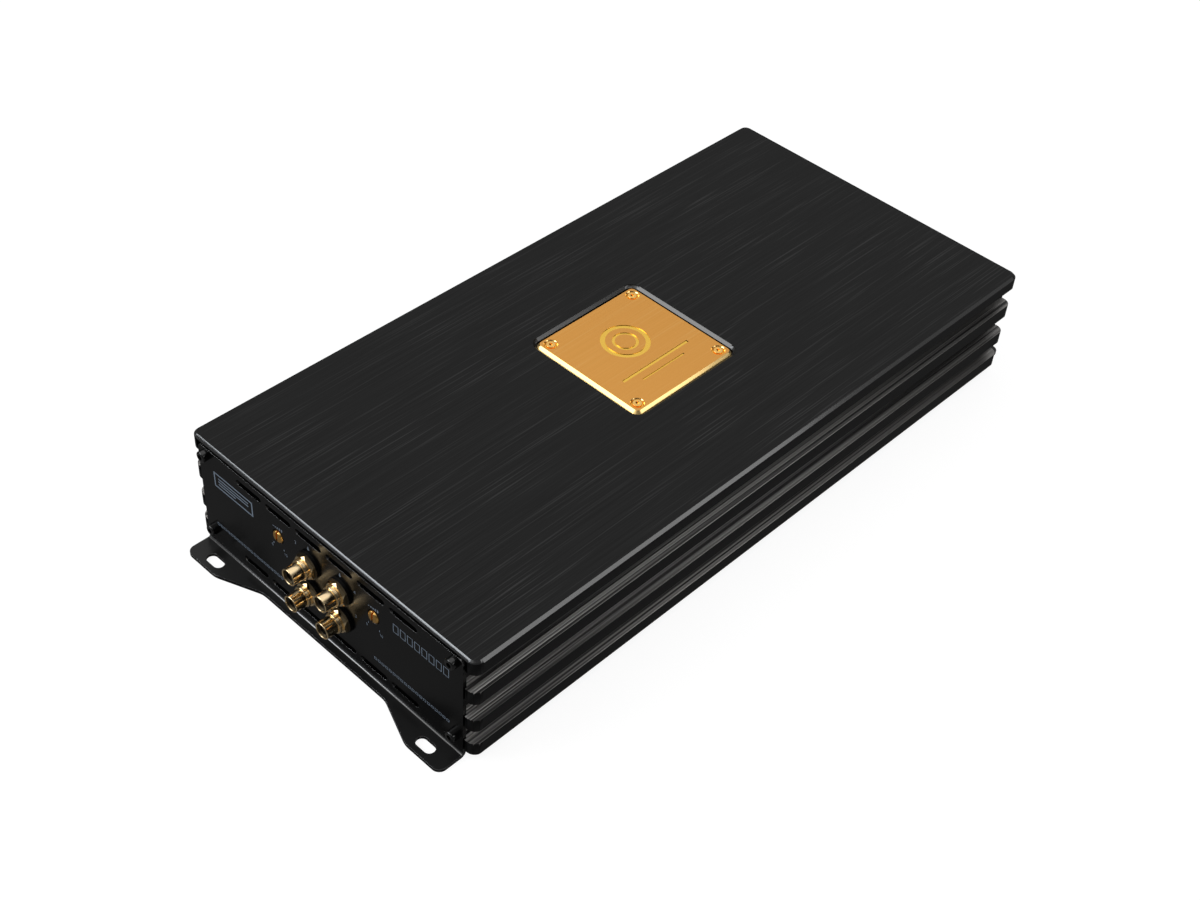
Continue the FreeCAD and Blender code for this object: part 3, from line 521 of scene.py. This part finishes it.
def add_jack_threads():
    """Screw thread showing on each jack between its nut and its barrel."""
    root, crest, pitch = 4.69 * MM, 4.93 * MM, 0.5 * MM
    start = PANEL_Y - WASHER_T - NUT_T
    number = 0
    for x in (-JACK_X, JACK_X):
        for z in JACK_LEVELS:
            number += 1
            profile = [(-1.5 * MM, root - 0.1 * MM), (0.0, root - 0.1 * MM)]
            for i in range(3):
                profile += [(-i * pitch, root), (-(i + 0.35) * pitch, crest), (-(i + 0.55) * pitch, crest)]
            profile.append((-1.5 * MM, root))
            mesh = ring_mesh("jack_thread_%d" % number, (x, start, z), profile)
            piece = add_piece("jack_thread_%d" % number, mesh, "gold_plate")


def soften(name, width, angle):
    """Fine rounding of a CAD node's edges that are sharper than the angle, in degrees."""
    node = NODES[name]
    weld = node.modifiers.new("weld", "WELD")
    weld.merge_threshold = 0.001 * MM
    bevel = node.modifiers.new("bevel", "BEVEL")
    bevel.width = width
    bevel.segments = 2
    bevel.limit_method = "ANGLE"
    bevel.angle_limit = math.radians(angle)
    bevel.harden_normals = True


# ---- camera, floor and light ---------------------------------------------------------------------
CAMERA_AZIMUTH = math.radians(41.017)
CAMERA_ELEVATION = math.radians(42.902)
CAMERA_ROLL = math.radians(4.493)
CAMERA_PLACE = Vector((402.7, -481.9, 578.2)) * MM
CAMERA_LENS = 51.97
SENSOR = 36.0


def add_camera():
    a, e = CAMERA_AZIMUTH, CAMERA_ELEVATION
    back = Vector((math.sin(a) * math.cos(e), -math.cos(a) * math.cos(e), math.sin(e)))
    right = Vector((math.cos(a), math.sin(a), 0.0))
    up = back.cross(right)
    c, s = math.cos(CAMERA_ROLL), math.sin(CAMERA_ROLL)
    rolled_right = right * c + up * s
    rolled_up = up * c - right * s
    data = bpy.data.cameras.new("camera")
    data.lens = CAMERA_LENS
    data.sensor_width = SENSOR
    data.clip_start = 0.02
    data.clip_end = 20.0
    camera = bpy.data.objects.new("camera", data)
    turn = Matrix((rolled_right, rolled_up, back)).transposed().to_4x4()
    camera.matrix_world = Matrix.Translation(CAMERA_PLACE) @ turn
    bpy.context.scene.collection.objects.link(camera)
    bpy.context.scene.camera = camera


def add_floor():
    size = 6.0
    mesh = bpy.data.meshes.new("floor")
    corners = [(-size, -size, 0), (size, -size, 0), (size, size, 0), (-size, size, 0)]
    mesh.from_pydata(corners, [], [(0, 1, 2, 3)])
    floor = bpy.data.objects.new("floor", mesh)
    floor.location.z = CAD_BOX[0].z - 0.05 * MM
    bpy.context.scene.collection.objects.link(floor)
    material = bpy.data.materials.new("floor")
    material.use_nodes = True
    shader = material.node_tree.nodes["Principled BSDF"]
    shader.inputs["Base Color"].default_value = (0.2, 0.2, 0.2, 1)
    shader.inputs["Roughness"].default_value = 0.9
    shader.inputs["Specular IOR Level"].default_value = 0.0
    shader.inputs["Emission Color"].default_value = (1, 1, 1, 1)
    shader.inputs["Emission Strength"].default_value = 0.9
    mesh.materials.append(material)
    floor.visible_glossy = False
    floor.visible_diffuse = False


def add_softbox(name, direction, distance, width, height, radiance, tint=(1.0, 1.0, 1.0)):
    """Rectangular soft light at a distance from the body, facing it; radiance is what a mirror would show."""
    data = bpy.data.lights.new(name, "AREA")
    data.color = tint
    data.shape = "RECTANGLE"
    data.size = width
    data.size_y = height
    data.energy = radiance * math.pi * width * height
    data.normalize = True
    light = bpy.data.objects.new(name, data)
    away = Vector(direction).normalized()
    light.rotation_mode = "QUATERNION"
    light.rotation_quaternion = away.to_track_quat("Z", "Y")
    light.location = Vector((0.0, 0.0, 0.03)) + away * distance
    bpy.context.scene.collection.objects.link(light)
    return light


def sky_levels(tree, height, stops):
    """Grey that changes with height: stops are (height from 0 at the bottom to 1 overhead, level)."""
    ramp = tree.nodes.new("ShaderNodeValToRGB")
    first, last = ramp.color_ramp.elements
    first.position, first.color = stops[0][0], grey(stops[0][1])
    last.position, last.color = stops[-1][0], grey(stops[-1][1])
    for position, level in stops[1:-1]:
        ramp.color_ramp.elements.new(position).color = grey(level)
    tree.links.new(height, ramp.inputs[0])
    return ramp.outputs[0]


def add_world():
    """White behind the floor; for the object, a soft sky that is bright overhead and dimmer on its right."""
    world = bpy.data.worlds.new("studio")
    bpy.context.scene.world = world
    world.use_nodes = True
    tree = world.node_tree
    tree.nodes.clear()
    output = tree.nodes.new("ShaderNodeOutputWorld")
    seen = tree.nodes.new("ShaderNodeBackground")
    seen.inputs["Color"].default_value = (1, 1, 1, 1)
    lit = tree.nodes.new("ShaderNodeBackground")
    place = tree.nodes.new("ShaderNodeTexCoord")
    split = tree.nodes.new("ShaderNodeSeparateXYZ")
    half = tree.nodes.new("ShaderNodeMath")
    half.operation = "MULTIPLY_ADD"
    half.inputs[1].default_value = 0.5
    half.inputs[2].default_value = 0.5
    tree.links.new(place.outputs["Generated"], split.inputs[0])
    tree.links.new(split.outputs["Z"], half.inputs[0])
    left = sky_levels(tree, half.outputs[0], ((0.46, 0.12), (0.53, 0.05), (0.70, 0.12), (0.78, 0.70),
                                              (0.88, 0.96), (0.96, 1.0)))
    right = sky_levels(tree, half.outputs[0], ((0.46, 0.16), (0.53, 0.05), (0.78, 0.07), (0.88, 0.20),
                                               (0.96, 0.9)))
    aside = tree.nodes.new("ShaderNodeMapRange")
    aside.interpolation_type = "SMOOTHSTEP"
    aside.inputs["From Min"].default_value = 0.0
    aside.inputs["From Max"].default_value = 0.45
    tree.links.new(split.outputs["X"], aside.inputs["Value"])
    across = tree.nodes.new("ShaderNodeMix")
    across.data_type = "RGBA"
    tree.links.new(aside.outputs[0], across.inputs["Factor"])
    tree.links.new(left, across.inputs[6])
    tree.links.new(right, across.inputs[7])
    tree.links.new(across.outputs[2], lit.inputs["Color"])
    rays = tree.nodes.new("ShaderNodeLightPath")
    either = tree.nodes.new("ShaderNodeMixShader")
    tree.links.new(rays.outputs["Is Camera Ray"], either.inputs[0])
    tree.links.new(lit.outputs[0], either.inputs[1])
    tree.links.new(seen.outputs[0], either.inputs[2])
    tree.links.new(either.outputs[0], output.inputs["Surface"])


def add_studio():
    add_camera()
    add_floor()
    add_world()
    add_softbox("front_softbox", (-0.497, -0.775, 0.388), 1.35, 0.9, 0.32, 5.6, tint=(0.90, 0.95, 1.0))
    add_softbox("upper_softbox", (-0.52, -0.66, 0.64), 1.35, 0.9, 0.35, 2.2)
    add_softbox("side_softbox", (0.95, 0.36, 0.55), 1.15, 0.8, 0.4, 1.7)
    add_softbox("far_softbox", (0.95, 1.02, 0.55), 1.5, 0.6, 0.4, 0.3)
    bpy.context.scene.view_settings.view_transform = "Standard"


dress_cad_nodes()
for panel in ("front_panel", "rear_panel"):
    soften(panel, 0.18 * MM, 40)
soften("heatsink", 0.12 * MM, 78)
soften("bottom_plate", 0.2 * MM, 60)
add_front_marks()
add_rear_marks()
add_jack_threads()
add_studio()
